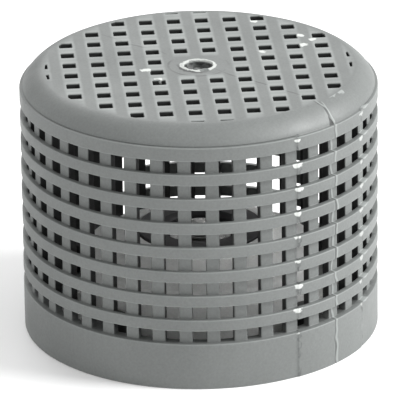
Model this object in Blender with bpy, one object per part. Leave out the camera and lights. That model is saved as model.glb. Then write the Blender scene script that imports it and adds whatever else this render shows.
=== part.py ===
"""Foot valve for a small suction pipe, standing on its rim with the strainer basket up.

The basket closes onto the flange of the valve body. Inside the body a spring pushes a rubber-faced
poppet up against the seat ring; suction from the pipe below draws the poppet down and open.
Z = 0 is the plane of the rim, and the valve's axis is Z.
"""

import math

import bmesh
import bpy
from mathutils import Matrix, Vector

MM = 0.001
GAP = 0.3 * MM          # clearance between pieces that rest on each other
FIT = 0.2 * MM          # clearance inside the poppet's stack

# Strainer basket
BASKET_RADIUS = 31.6 * MM
BASKET_HEIGHT = 48.0 * MM
RECESS_RADIUS = 30.5 * MM
BASKET_BORE = 29.0 * MM
BAND_HEIGHT = 8.4 * MM
ROW_PITCH = 4.5 * MM
OPENING = 2.45 * MM     # width and height of a side opening
ROWS = 8
COLUMNS = 40
FIRST_COLUMN = math.radians(3.62)
RING_TOP = 44.8 * MM    # top of the highest ring
SHOULDER_RADIUS = 31.0 * MM
SHOULDER_CURVE = 1.45   # exponent of the shoulder's outline: 1 is a chamfer, 2 an ellipse
TOP_FLAT_RADIUS = 27.5 * MM
TOP_THICKNESS = 2.4 * MM
SHOULDER_STEPS = 4
LATTICE_PITCH = 5.0 * MM
LATTICE_HOLE = 2.45 * MM
GATE_RIM_RADIUS = 3.1 * MM
GATE_RADIUS = 2.5 * MM
GATE_RISE = 0.2 * MM
GATE_DEPTH = 1.6 * MM

# Screws and their bosses
SCREWS = 4
SCREW_CIRCLE = 25.4 * MM
BOSS_RADIUS = 4.0 * MM
SCREW_HOLE = 1.5 * MM
SHANK_RADIUS = 1.2 * MM
HEAD_RADIUS = 2.4 * MM
HEAD_HEIGHT = 1.4 * MM
SCREW_TIP = 7.5 * MM
HEAD_RECESS = 2.0 * MM

# Valve body
FLANGE_RADIUS = 28.7 * MM
FLANGE_THICKNESS = 2.8 * MM
SOCKET_OUTER = 20.9 * MM
SOCKET_TOP = 13.5 * MM      # where the socket's wall slopes in towards the neck
SLOPE_TOP = 16.3 * MM
SOCKET_BORE = 14.9 * MM
SOCKET_DEPTH = 8.8 * MM
NECK_RADIUS = 12.9 * MM
NECK_TOP = 17.4 * MM
CHAMBER_RADIUS = 10.4 * MM
SEAT_POCKET_RADIUS = 11.4 * MM
SEAT_POCKET_FLOOR = 15.7 * MM
RIBS = 4                    # between the screws
RIB_HALF_WIDTH = 0.6 * MM
RIB_REACH = 3.5 * MM        # how far the ribs run out from the socket
RIB_RISE = 3.2 * MM         # and up from the flange
RIB_ROOT = 1.0 * MM         # how deep they sit in both

# Pipe connection
THREAD_MINOR = 12.06 * MM   # half the minor diameter of a G 3/4 thread
THREAD_MOUTH = 13.3 * MM
GASKET_INNER = 9.2 * MM
GASKET_BOTTOM = 7.0 * MM

# Poppet and what guides it
STEM_RADIUS = 1.5 * MM
STEM_BOTTOM = 2.6 * MM
STEM_COLLAR = 1.1 * MM      # how far the collar stands out from the stem
COLLAR_THICKNESS = 0.5 * MM
STEM_CHAMFER = 0.4 * MM
STEM_TOP = 18.6 * MM
DISC_RADIUS = 8.4 * MM
DISC_BOTTOM = 12.6 * MM
DISC_TOP = 13.9 * MM
DISC_RIM = 1.2 * MM         # width of the rim round the dish beneath
DISC_DISH = 0.35 * MM
SEAL_RADIUS = 8.0 * MM
SEAL_TOP = 15.2 * MM
PLATE_RADIUS = 5.4 * MM
PLATE_TOP = 16.0 * MM
LOCK_WASHER_RADIUS = 2.9 * MM
LOCK_WASHER_TOP = 16.6 * MM
NUT_RADIUS = 2.8 * MM
NUT_TOP = 18.1 * MM
HUB_RADIUS = 4.6 * MM
HUB_BOTTOM = 5.0 * MM
HUB_TOP = 6.5 * MM
HUB_BORE = 2.8 * MM
BUSH_FLANGE = 0.8 * MM      # how far the bush's flange reaches under the hub
BUSH_FLANGE_THICKNESS = 0.6 * MM
WASHER_THICKNESS = 0.4 * MM
SPIDER_ARMS = 4
ARM_HALF_WIDTH = 0.9 * MM
ARM_LEG = 1.6 * MM          # radial thickness of an arm's upright leg
SPIDER_RING_WIDTH = 1.8 * MM
SPIDER_RING_TOP = 10.3 * MM
SPRING_RADIUS = 3.6 * MM
SPRING_WIRE = 0.3 * MM      # half the wire's thickness
SPRING_TURNS = 4.0
CLOSED_TURN = 0.75          # part of a turn that lies flat at each end
SIDES_PER_TURN = 14

# Seat
SEAT_BORE = 6.6 * MM
SEAT_LIP = 15.4 * MM
SEAT_TOP = 17.7 * MM
SEAT_OUTER = 11.1 * MM
SEAT_LIP_WIDTH = 0.8 * MM
SEAT_CHAMFER = 0.3 * MM
O_RING_RADIUS = 10.6 * MM
O_RING_SECTION = 0.5 * MM

FINE, MEDIUM, COARSE = 36, 24, 12     # sides of round pieces
SMOOTH_ANGLE = math.radians(35)


def clear_scene():
    for obj in list(bpy.data.objects):
        bpy.data.objects.remove(obj)


def material(name, colour, roughness, metallic=0.0):
    made = bpy.data.materials.new(name)
    made.use_nodes = True
    shader = made.node_tree.nodes["Principled BSDF"]
    shader.inputs["Base Color"].default_value = (*colour, 1.0)
    shader.inputs["Roughness"].default_value = roughness
    shader.inputs["Metallic"].default_value = metallic
    made.diffuse_color = (*colour, 1.0)
    return made


def add_object(name, bm, finish=None, hidden=False):
    """Turn a bmesh into an object with smooth faces and sharp edges; a hidden one is a helper."""
    bmesh.ops.recalc_face_normals(bm, faces=bm.faces)
    mesh = bpy.data.meshes.new(name)
    bm.to_mesh(mesh)
    bm.free()
    mesh.shade_smooth()
    mesh.set_sharp_from_angle(angle=SMOOTH_ANGLE)
    obj = bpy.data.objects.new(name, mesh)
    bpy.context.scene.collection.objects.link(obj)
    if finish is not None:
        mesh.materials.append(finish)
    if hidden:
        obj.hide_render = True
        obj.display_type = "WIRE"
    return obj


def boolean(obj, helper, operation):
    modifier = obj.modifiers.new(f"{operation.title()} {helper.name}", "BOOLEAN")
    modifier.operation = operation
    modifier.object = helper
    modifier.solver = "EXACT"


def on_circle(radius, angle, height):
    return Vector((radius * math.cos(angle), radius * math.sin(angle), height))


def turn_profile(bm, profile, sides, centre=(0.0, 0.0)):
    """Turn a closed (radius, height) outline about a vertical axis; a zero radius is a point on it."""
    rings = []
    for radius, height in profile:
        if radius == 0:
            rings.append([bm.verts.new((*centre, height))] * sides)
            continue
        ring = []
        for side in range(sides):
            point = on_circle(radius, 2 * math.pi * side / sides, height)
            ring.append(bm.verts.new(point + Vector((*centre, 0.0))))
        rings.append(ring)
    for lower, upper in zip(rings, rings[1:] + rings[:1]):
        for side in range(sides):
            after = (side + 1) % sides
            corners = [lower[side], lower[after], upper[after], upper[side]]
            corners = list(dict.fromkeys(corners))
            if len(corners) > 2:
                bm.faces.new(corners)


def turned(name, profile, sides, finish):
    bm = bmesh.new()
    turn_profile(bm, profile, sides)
    return add_object(name, bm, finish)


def tube_profile(inner, outer, bottom, top, chamfer=0.0):
    """Outline of a plain ring, with its outer edges chamfered."""
    return [
        (inner, bottom),
        (outer - chamfer, bottom),
        (outer, bottom + chamfer),
        (outer, top - chamfer),
        (outer - chamfer, top),
        (inner, top),
    ] if chamfer else [(inner, bottom), (outer, bottom), (outer, top), (inner, top)]


def add_box(bm, low, high, turn=0.0):
    """A box between two corners, turned about Z."""
    size = [b - a for a, b in zip(low, high)]
    middle = [(a + b) / 2 for a, b in zip(low, high)]
    matrix = Matrix.Rotation(turn, 4, "Z") @ Matrix.Translation(middle) @ Matrix.Diagonal((*size, 1.0))
    bmesh.ops.create_cube(bm, size=1.0, matrix=matrix)


def add_prism(bm, outline, low, high):
    """An upright prism over an outline of (x, y) points."""
    rings = [[bm.verts.new((x, y, z)) for x, y in outline] for z in (low, high)]
    for i, (a, b) in enumerate(zip(*rings)):
        bm.faces.new((rings[0][i - 1], a, b, rings[1][i - 1]))
    for ring in rings:
        bm.faces.new(ring)


def screw_angles():
    return [math.radians(45) + 2 * math.pi * i / SCREWS for i in range(SCREWS)]


# ---------------------------------------------------------------- strainer basket


def lattice_holes():
    """Centres of the square holes in the top, in pitches; the four at the gate are left out."""
    longest = {0.5: 4.5, 1.5: 4.5, 2.5: 4.5, 3.5: 3.5, 4.5: 2.5}
    for row, last in longest.items():
        for step in range(int(last + 0.5)):
            column = step + 0.5
            if row == column == 0.5:
                continue
            for x_sign in (-1, 1):
                for y_sign in (-1, 1):
                    yield x_sign * column, y_sign * row


def wall_mesh():
    """The basket without its lattice: band, rings, the posts between the openings, and the top."""
    bm = bmesh.new()
    column_step = 2 * math.pi / COLUMNS
    half_opening = math.asin(OPENING / 2 / RECESS_RADIUS)
    edges = []
    for column in range(COLUMNS):
        middle = FIRST_COLUMN + column * column_step
        edges += [middle - half_opening, middle + half_opening]
    between = [FIRST_COLUMN + (column + 0.5) * column_step for column in range(COLUMNS)]
    made = {}

    def ring(radius, height, angles):
        key = (radius, height, len(angles))
        if key not in made:
            made[key] = [bm.verts.new(on_circle(radius, angle, height)) for angle in angles]
        return made[key]

    def outer(height, radius=BASKET_RADIUS):
        return ring(radius, height, between)

    def wall(lower, upper):
        count = len(lower)
        for i in range(count):
            j = (i + 1) % count
            bm.faces.new((lower[i], lower[j], upper[j], upper[i]))

    def ledge(coarse, fine):
        """Flat annulus from a ring with one point a column to one with two."""
        for k in range(COLUMNS):
            left, right, following = fine[2 * k], fine[2 * k + 1], fine[(2 * k + 2) % len(fine)]
            bm.faces.new((coarse[k - 1], coarse[k], right, left))
            bm.faces.new((coarse[k], following, right))

    def strip(lower, upper, first):
        """Every second face between two rings: over the openings from 0, over the posts from 1."""
        count = len(lower)
        for i in range(first, count, 2):
            j = (i + 1) % count
            bm.faces.new((lower[i], lower[j], upper[j], upper[i]))

    def posts(bottom, top):
        """Inner face and flanks of the upright posts between two heights."""
        mid_low, mid_high = ring(RECESS_RADIUS, bottom, edges), ring(RECESS_RADIUS, top, edges)
        in_low, in_high = ring(BASKET_BORE, bottom, edges), ring(BASKET_BORE, top, edges)
        strip(in_low, in_high, 1)
        for edge in range(2 * COLUMNS):
            bm.faces.new((mid_low[edge], mid_high[edge], in_high[edge], in_low[edge]))

    def groove(bottom, top):
        """Groove round the outside between two rings, open between the posts."""
        mid_low, mid_high = ring(RECESS_RADIUS, bottom, edges), ring(RECESS_RADIUS, top, edges)
        ledge(outer(bottom), mid_low)
        ledge(outer(top), mid_high)
        strip(mid_low, mid_high, 1)
        posts(bottom, top)

    def channel_end(height):
        """Where the channels between the posts stop, at the band and under the shoulder."""
        strip(ring(RECESS_RADIUS, height, edges), ring(BASKET_BORE, height, edges), 0)

    ledge(outer(0.0), ring(BASKET_BORE, 0.0, edges))
    wall(outer(0.0), outer(BAND_HEIGHT))
    wall(ring(BASKET_BORE, 0.0, edges), ring(BASKET_BORE, BAND_HEIGHT, edges))
    channel_end(BAND_HEIGHT)
    for row in range(ROWS):
        bottom = BAND_HEIGHT + row * ROW_PITCH
        top = bottom + OPENING
        groove(bottom, top)
        if row < ROWS - 1:
            next_bottom = BAND_HEIGHT + (row + 1) * ROW_PITCH
            wall(outer(top), outer(next_bottom))
            strip(ring(RECESS_RADIUS, top, edges), ring(RECESS_RADIUS, next_bottom, edges), 0)
            posts(top, next_bottom)
    last_top = BAND_HEIGHT + (ROWS - 1) * ROW_PITCH + OPENING
    channel_end(last_top)
    ceiling = BASKET_HEIGHT - TOP_THICKNESS
    wall(ring(BASKET_BORE, last_top, edges), ring(BASKET_BORE, ceiling, edges))
    bm.faces.new(ring(BASKET_BORE, ceiling, edges))
    wall(outer(last_top), outer(RING_TOP))
    below = outer(RING_TOP)
    for step in range(SHOULDER_STEPS + 1):
        turn = math.pi / 2 * step / SHOULDER_STEPS
        outward = abs(math.cos(turn)) ** (2 / SHOULDER_CURVE)
        upward = math.sin(turn) ** (2 / SHOULDER_CURVE)
        radius = TOP_FLAT_RADIUS + (SHOULDER_RADIUS - TOP_FLAT_RADIUS) * outward
        height = RING_TOP + (BASKET_HEIGHT - RING_TOP) * upward
        above = outer(height, radius)
        wall(below, above)
        below = above
    bm.faces.new(below)
    return bm


def strainer_basket(finish):
    basket = add_object("strainer_basket", wall_mesh(), finish)

    holes = bmesh.new()
    half = LATTICE_HOLE / 2
    low, high = BASKET_HEIGHT - 2 * TOP_THICKNESS, BASKET_HEIGHT + TOP_THICKNESS
    for column, row in lattice_holes():
        x, y = column * LATTICE_PITCH, row * LATTICE_PITCH
        add_box(holes, (x - half, y - half, low), (x + half, y + half, high))
    edge = 5.5 * LATTICE_PITCH - half
    for quarter in range(4):
        for side in (-0.5, 0.5):
            y = side * LATTICE_PITCH
            turn = quarter * math.pi / 2
            add_box(holes, (edge, y - half, low), (TOP_FLAT_RADIUS, y + half, high), turn)
    boolean(basket, add_object("lattice_cutter", holes, hidden=True), "DIFFERENCE")

    bosses = bmesh.new()
    bottom = FLANGE_THICKNESS + GAP
    pilot_top = SCREW_TIP + GAP
    boss_profile = [
        (SCREW_HOLE, bottom), (BOSS_RADIUS, bottom), (BOSS_RADIUS, BAND_HEIGHT),
        (0.0, BAND_HEIGHT), (0.0, pilot_top), (SCREW_HOLE, pilot_top),
    ]
    for angle in screw_angles():
        turn_profile(bosses, boss_profile, COARSE, centre=on_circle(SCREW_CIRCLE, angle, 0.0)[:2])
    boolean(basket, add_object("boss_helper", bosses, hidden=True), "UNION")

    rim = bmesh.new()
    foot = BASKET_HEIGHT - TOP_THICKNESS / 2
    rise = BASKET_HEIGHT + GATE_RISE
    turn_profile(rim, tube_profile(GATE_RADIUS, GATE_RIM_RADIUS, foot, rise), COARSE)
    boolean(basket, add_object("gate_rim_helper", rim, hidden=True), "UNION")
    gate = bmesh.new()
    floor = BASKET_HEIGHT - GATE_DEPTH
    turn_profile(gate, [(0.0, floor), (GATE_RADIUS, floor), (GATE_RADIUS, high), (0.0, high)], COARSE)
    boolean(basket, add_object("gate_cutter", gate, hidden=True), "DIFFERENCE")
    return basket


# ---------------------------------------------------------------- valve body and pipe connection


def valve_body(finish):
    profile = [
        (SOCKET_BORE, 0.0),
        (FLANGE_RADIUS, 0.0),
        (FLANGE_RADIUS, FLANGE_THICKNESS),
        (SOCKET_OUTER, FLANGE_THICKNESS),
        (SOCKET_OUTER, SOCKET_TOP),
        (NECK_RADIUS, SLOPE_TOP),
        (NECK_RADIUS, NECK_TOP),
        (SEAT_POCKET_RADIUS, NECK_TOP),
        (SEAT_POCKET_RADIUS, SEAT_POCKET_FLOOR),
        (CHAMBER_RADIUS, SEAT_POCKET_FLOOR),
        (CHAMBER_RADIUS, SOCKET_DEPTH),
        (SOCKET_BORE, SOCKET_DEPTH),
    ]
    body = turned("valve_body", profile, FINE, finish)

    holes = bmesh.new()
    below, above = -FLANGE_THICKNESS, 2 * FLANGE_THICKNESS
    hole_profile = [
        (0.0, below), (HEAD_RADIUS + GAP, below), (HEAD_RADIUS + GAP, HEAD_RECESS),
        (SCREW_HOLE, HEAD_RECESS), (SCREW_HOLE, above), (0.0, above),
    ]
    for angle in screw_angles():
        turn_profile(holes, hole_profile, COARSE, centre=on_circle(SCREW_CIRCLE, angle, 0.0)[:2])
    boolean(body, add_object("screw_hole_cutter", holes, hidden=True), "DIFFERENCE")

    ribs = bmesh.new()
    for i in range(RIBS):
        low = (SOCKET_OUTER - RIB_ROOT, -RIB_HALF_WIDTH, FLANGE_THICKNESS - RIB_ROOT)
        high = (SOCKET_OUTER + RIB_REACH, RIB_HALF_WIDTH, FLANGE_THICKNESS + RIB_RISE)
        add_box(ribs, low, high, 2 * math.pi * i / RIBS)
    boolean(body, add_object("rib_helper", ribs, hidden=True), "UNION")
    return body


def flange_screw(name, angle, finish):
    """Self-tapping screw with a pan head and a cross recess, pointing up."""
    bottom = GAP
    under_head = bottom + HEAD_HEIGHT
    profile = [
        (0.0, bottom),
        (HEAD_RADIUS * 0.75, bottom),
        (HEAD_RADIUS, bottom + HEAD_HEIGHT * 0.5),
        (HEAD_RADIUS, under_head),
        (SHANK_RADIUS, under_head),
        (SHANK_RADIUS, SCREW_TIP - SHANK_RADIUS),
        (SHANK_RADIUS * 0.3, SCREW_TIP),
        (0.0, SCREW_TIP),
    ]
    screw = turned(name, profile, COARSE, finish)
    recess = bmesh.new()
    reach, half = HEAD_RADIUS * 0.6, 0.25 * MM
    outline = []
    for quarter in range(4):
        turn = Matrix.Rotation(quarter * math.pi / 2, 2)
        outline += [turn @ Vector(point) for point in ((reach, -half), (reach, half), (half, half))]
    add_prism(recess, outline, -HEAD_HEIGHT, bottom + HEAD_HEIGHT * 0.6)
    cutter = add_object(f"{name}_recess_cutter", recess, hidden=True)
    boolean(screw, cutter, "DIFFERENCE")
    cutter.parent = screw
    screw.location = on_circle(SCREW_CIRCLE, angle, 0.0)
    screw.rotation_euler.z = angle
    return screw


def threaded_insert(finish):
    outer = SOCKET_BORE - GAP
    top = SOCKET_DEPTH - GAP
    lead = THREAD_MOUTH - THREAD_MINOR
    profile = [
        (THREAD_MOUTH, GAP), (outer, GAP), (outer, top), (THREAD_MINOR, top),
        (THREAD_MINOR, GAP + lead),
    ]
    return turned("threaded_insert", profile, FINE, finish)


def pipe_gasket(finish):
    top = SOCKET_DEPTH - GAP
    profile = tube_profile(GASKET_INNER, THREAD_MINOR - GAP, GASKET_BOTTOM, top)
    return turned("pipe_gasket", profile, FINE, finish)


# ---------------------------------------------------------------- guide, spring and poppet


def guide_spider(finish):
    """Ring in the mouth of the chamber, and a hub hung below it on four bent arms."""
    ring_bottom = SOCKET_DEPTH + GAP / 2
    ring_outer = CHAMBER_RADIUS - GAP
    ring = tube_profile(ring_outer - SPIDER_RING_WIDTH, ring_outer, ring_bottom, SPIDER_RING_TOP)
    spider = turned("guide_spider", ring, MEDIUM, finish)
    tube = bmesh.new()
    turn_profile(tube, tube_profile(HUB_BORE, HUB_RADIUS, HUB_BOTTOM, HUB_TOP), MEDIUM)
    hub = add_object("hub_helper", tube, hidden=True)
    leg_outer = GASKET_INNER - GAP - FIT / 2
    leg_inner = leg_outer - ARM_LEG
    root = HUB_RADIUS - 2 * GAP
    # The arms stop just short of the hub's and the ring's faces, so that no faces coincide.
    inset = FIT / 2
    outline = [
        (root, HUB_BOTTOM + inset),
        (leg_outer, HUB_BOTTOM + inset),
        (leg_outer, SPIDER_RING_TOP - inset),
        (leg_inner, SPIDER_RING_TOP - inset),
        (leg_inner, HUB_TOP - inset),
        (root, HUB_TOP - inset),
    ]
    for i in range(SPIDER_ARMS):
        arm = bmesh.new()
        face = arm.faces.new([arm.verts.new((x, -ARM_HALF_WIDTH, z)) for x, z in outline])
        pulled = bmesh.ops.extrude_face_region(arm, geom=[face])["geom"]
        moved = [item for item in pulled if isinstance(item, bmesh.types.BMVert)]
        bmesh.ops.translate(arm, verts=moved, vec=(0.0, 2 * ARM_HALF_WIDTH, 0.0))
        turn = Matrix.Rotation(2 * math.pi * (i + 0.5) / SPIDER_ARMS, 3, "Z")
        bmesh.ops.rotate(arm, verts=arm.verts, matrix=turn)
        boolean(hub, add_object(f"arm_helper_{i + 1}", arm, hidden=True), "UNION")
    boolean(spider, hub, "UNION")
    return spider


def guide_bush(finish):
    outer, inner = HUB_BORE - FIT, STEM_RADIUS + FIT
    flange_top = HUB_BOTTOM - FIT
    flange_bottom = flange_top - BUSH_FLANGE_THICKNESS
    profile = [
        (inner, flange_bottom),
        (outer + BUSH_FLANGE, flange_bottom),
        (outer + BUSH_FLANGE, flange_top),
        (outer, flange_top),
        (outer, HUB_TOP),
        (inner, HUB_TOP),
    ]
    return turned("guide_bush", profile, COARSE, finish)


def spring_washer(finish):
    bottom = HUB_TOP + FIT
    profile = tube_profile(STEM_RADIUS + 2 * FIT, HUB_RADIUS - FIT, bottom, bottom + WASHER_THICKNESS)
    return turned("spring_washer", profile, MEDIUM, finish)


def valve_spring(finish):
    """Compression spring with a closed turn at each end, swept round a poly line."""
    low = HUB_TOP + FIT + WASHER_THICKNESS + FIT + SPRING_WIRE
    high = DISC_BOTTOM - FIT - SPRING_WIRE
    sides, around = int(SPRING_TURNS * SIDES_PER_TURN), 6
    closed_part = CLOSED_TURN / SPRING_TURNS
    pitch_at_end = 2.1 * SPRING_WIRE * CLOSED_TURN

    def height(t):
        """Slow rise over the closed turns at each end, steady in between."""
        if t < closed_part:
            return low + pitch_at_end * t / closed_part
        if t > 1 - closed_part:
            return high - pitch_at_end * (1 - t) / closed_part
        middle = (t - closed_part) / (1 - 2 * closed_part)
        return low + pitch_at_end + (high - low - 2 * pitch_at_end) * middle

    bm = bmesh.new()
    rings = []
    for step in range(sides + 1):
        t = step / sides
        angle = 2 * math.pi * SPRING_TURNS * t
        centre = on_circle(SPRING_RADIUS, angle, height(t))
        outward = on_circle(1.0, angle, 0.0)
        ring = []
        for corner in range(around):
            turn = 2 * math.pi * corner / around
            offset = outward * math.cos(turn) + Vector((0, 0, 1)) * math.sin(turn)
            ring.append(bm.verts.new(centre + offset * SPRING_WIRE))
        rings.append(ring)
    for before, after in zip(rings, rings[1:]):
        for corner in range(around):
            following = (corner + 1) % around
            bm.faces.new((before[corner], before[following], after[following], after[corner]))
    bm.faces.new(rings[0])
    bm.faces.new(rings[-1])
    return add_object("valve_spring", bm, finish)


def poppet_disc(finish):
    """Disc with a shallow dish beneath, so that it is stiff and light."""
    bore = STEM_RADIUS + FIT
    spring_land = SPRING_RADIUS + 3 * SPRING_WIRE
    profile = [
        (bore, DISC_BOTTOM),
        (spring_land, DISC_BOTTOM),
        (spring_land + DISC_DISH, DISC_BOTTOM + DISC_DISH),
        (DISC_RADIUS - DISC_RIM, DISC_BOTTOM + DISC_DISH),
        (DISC_RADIUS - DISC_RIM + DISC_DISH, DISC_BOTTOM),
        (DISC_RADIUS, DISC_BOTTOM),
        (DISC_RADIUS, DISC_TOP),
        (bore, DISC_TOP),
    ]
    return turned("poppet_disc", profile, FINE, finish)


def poppet_stem(finish):
    collar_top = DISC_BOTTOM - FIT
    collar_bottom = collar_top - COLLAR_THICKNESS
    profile = [
        (0.0, STEM_BOTTOM),
        (STEM_RADIUS - STEM_CHAMFER, STEM_BOTTOM),
        (STEM_RADIUS, STEM_BOTTOM + STEM_CHAMFER),
        (STEM_RADIUS, collar_bottom),
        (STEM_RADIUS + STEM_COLLAR, collar_bottom),
        (STEM_RADIUS + STEM_COLLAR, collar_top),
        (STEM_RADIUS, collar_top),
        (STEM_RADIUS, STEM_TOP - STEM_CHAMFER),
        (STEM_RADIUS - STEM_CHAMFER, STEM_TOP),
        (0.0, STEM_TOP),
    ]
    return turned("poppet_stem", profile, COARSE, finish)


def stem_stack(seal, steel):
    """The rubber face and what clamps it on the stem, from the disc up to the nut."""
    bore = STEM_RADIUS + FIT
    turned("poppet_seal", tube_profile(bore, SEAL_RADIUS, DISC_TOP + FIT, SEAL_TOP, FIT), FINE, seal)
    turned("seal_plate", tube_profile(bore, PLATE_RADIUS, SEAL_TOP + FIT, PLATE_TOP, FIT), MEDIUM, steel)
    washer = tube_profile(bore, LOCK_WASHER_RADIUS, PLATE_TOP + FIT, LOCK_WASHER_TOP)
    turned("lock_washer", washer, COARSE, steel)
    nut = bmesh.new()
    foot = LOCK_WASHER_TOP + FIT
    turn_profile(nut, [(0.0, foot), (NUT_RADIUS, foot), (NUT_RADIUS, NUT_TOP), (0.0, NUT_TOP)], 6)
    nut = add_object("stem_nut", nut, steel)
    hole = bmesh.new()
    reach = NUT_TOP + NUT_RADIUS
    low = LOCK_WASHER_TOP - NUT_RADIUS
    turn_profile(hole, [(0.0, low), (bore, low), (bore, reach), (0.0, reach)], COARSE)
    boolean(nut, add_object("nut_bore_cutter", hole, hidden=True), "DIFFERENCE")


# ---------------------------------------------------------------- seat


def seat_ring(finish):
    """Ring with a raised lip beneath that the rubber closes on, and a step over the O-ring."""
    step_radius = O_RING_RADIUS - O_RING_SECTION - GAP
    step_height = SEAT_POCKET_FLOOR + 2 * (O_RING_SECTION + FIT)
    bottom = SEAT_POCKET_FLOOR + GAP
    lip_outer = SEAT_BORE + SEAT_LIP_WIDTH
    profile = [
        (SEAT_BORE, SEAT_LIP),
        (lip_outer, SEAT_LIP),
        (lip_outer + bottom - SEAT_LIP, bottom),
        (step_radius, bottom),
        (step_radius, step_height),
        (SEAT_OUTER, step_height),
        (SEAT_OUTER, SEAT_TOP - SEAT_CHAMFER),
        (SEAT_OUTER - SEAT_CHAMFER, SEAT_TOP),
        (lip_outer, SEAT_TOP),
        (SEAT_BORE, SEAT_TOP - SEAT_LIP_WIDTH),
    ]
    return turned("seat_ring", profile, FINE, finish)


def seat_o_ring(finish):
    centre = SEAT_POCKET_FLOOR + O_RING_SECTION + FIT
    corners = 8
    profile = []
    for corner in range(corners):
        turn = 2 * math.pi * corner / corners
        radius = O_RING_RADIUS + O_RING_SECTION * math.cos(turn)
        profile.append((radius, centre + O_RING_SECTION * math.sin(turn)))
    return turned("seat_o_ring", profile, MEDIUM, finish)


def build():
    clear_scene()
    grey = material("grey_polypropylene", (0.25, 0.25, 0.25), 0.55)
    light = material("light_grey_polypropylene", (0.42, 0.42, 0.41), 0.5)
    dark = material("black_acetal", (0.03, 0.03, 0.03), 0.4)
    white = material("white_acetal", (0.75, 0.74, 0.7), 0.4)
    rubber = material("nitrile_rubber", (0.02, 0.02, 0.02), 0.8)
    steel = material("stainless_steel", (0.6, 0.6, 0.6), 0.3, 1.0)
    brass = material("brass", (0.72, 0.52, 0.22), 0.35, 1.0)

    strainer_basket(grey)
    valve_body(light)
    for number, angle in enumerate(screw_angles(), 1):
        flange_screw(f"flange_screw_{number}", angle, steel)
    threaded_insert(brass)
    pipe_gasket(rubber)
    guide_spider(white)
    guide_bush(dark)
    spring_washer(steel)
    valve_spring(steel)
    poppet_disc(dark)
    poppet_stem(steel)
    stem_stack(rubber, steel)
    seat_ring(dark)
    seat_o_ring(rubber)


build()
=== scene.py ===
"""Looks of the foot valve: a moulded strainer basket over a flanged valve body, on a pale floor.

Lengths are in metres. Angles round the valve are counted anticlockwise from +X, seen from above.
"""

import math

import bmesh
import bpy
from mathutils import Matrix, Vector, geometry, noise


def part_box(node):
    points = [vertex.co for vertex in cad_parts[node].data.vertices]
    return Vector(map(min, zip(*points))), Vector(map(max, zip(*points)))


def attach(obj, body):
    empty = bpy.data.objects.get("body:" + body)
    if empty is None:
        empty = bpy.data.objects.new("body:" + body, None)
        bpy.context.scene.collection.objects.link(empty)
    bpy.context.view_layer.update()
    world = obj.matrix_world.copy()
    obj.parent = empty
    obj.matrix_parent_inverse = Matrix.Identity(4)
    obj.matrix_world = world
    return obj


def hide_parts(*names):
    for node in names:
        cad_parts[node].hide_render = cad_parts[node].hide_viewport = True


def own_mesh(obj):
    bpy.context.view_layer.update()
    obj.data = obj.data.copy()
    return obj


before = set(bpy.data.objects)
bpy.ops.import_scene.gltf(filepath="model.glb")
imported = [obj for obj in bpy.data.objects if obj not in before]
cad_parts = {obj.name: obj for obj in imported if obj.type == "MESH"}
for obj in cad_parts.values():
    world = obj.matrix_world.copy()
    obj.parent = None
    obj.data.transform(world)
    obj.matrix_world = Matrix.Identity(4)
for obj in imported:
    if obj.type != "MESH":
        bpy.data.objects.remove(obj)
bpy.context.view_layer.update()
noise.seed_set(1)       # or the noise that tears the gate would start from the clock

MM = 0.001
FULL_TURN = 2 * math.pi


def span(node):
    """Radius, bottom and top of a CAD node. The radius is for nodes that are round about the axis."""
    low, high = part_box(node)
    return max(high.x, high.y), low.z, high.z


# ---------------- sizes

BASKET_RADIUS = span("strainer_basket")[0] - 0.02 * MM
BASKET_TOP = 48.0 * MM
RECESS_RADIUS = BASKET_RADIUS - 1.1 * MM
BASKET_BORE = BASKET_RADIUS - 2.6 * MM
BAND_HEIGHT = 8.4 * MM
ROW_PITCH = 4.5 * MM
OPENING = 2.45 * MM
ROWS = 8
COLUMNS = 40
FIRST_COLUMN = math.radians(3.62)
RING_TOP = 44.8 * MM
SHOULDER_RADIUS = BASKET_RADIUS - 0.6 * MM
SHOULDER_CURVE = 1.45       # exponent of the shoulder's outline: 1 is a chamfer, 2 an ellipse
SHOULDER_STEPS = 14
TOP_FLAT_RADIUS = 27.5 * MM
TOP_THICKNESS = 2.4 * MM
LATTICE_PITCH = 5.0 * MM
LATTICE_HOLE = 2.3 * MM
HOLE_ROUNDING = 0.16 * MM
EDGE_ROUNDING = 0.14 * MM
EDGE_BAND = 0.36 * MM       # mesh lines beside each edge that keep its painted edge highlight narrow

GATE_MOUTH = 2.5 * MM       # radius of the torn hole where the sprue broke off
GATE_FOOT = 3.25 * MM
GATE_SIDES = 64
GATE_NOTCH = math.radians(-72)

SCREW_CIRCLE = 25.4 * MM
SCREW_ANGLES = [math.radians(45 + 90 * i) for i in range(4)]

# The side core of the mould left a slightly proud patch between these two angles. The two flows of
# plastic from the gate met along a line across the top and down the side.
CORE_EDGES = (math.radians(-62.65), math.radians(-31.8))
CORE_STAND = 0.12 * MM
SEAM_ANGLE = math.radians(-46.9)
SEAM_DEPTH = 0.12 * MM
LINE_STEP = math.radians(0.35)      # spacing of the extra mesh lines at the seam

# Corners of the top's holes where the plastic is torn white, in millimetres
WHITENED = [(-9.3, -1.2), (-7.2, -5.9), (12.0, 20.8), (11.7, 5.4), (19.4, 12.6), (19.1, 8.1), (21.1, 10.4)]


# ---------------- materials


def on_circle(radius, angle, height=0.0):
    return Vector((radius * math.cos(angle), radius * math.sin(angle), height))


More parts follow.
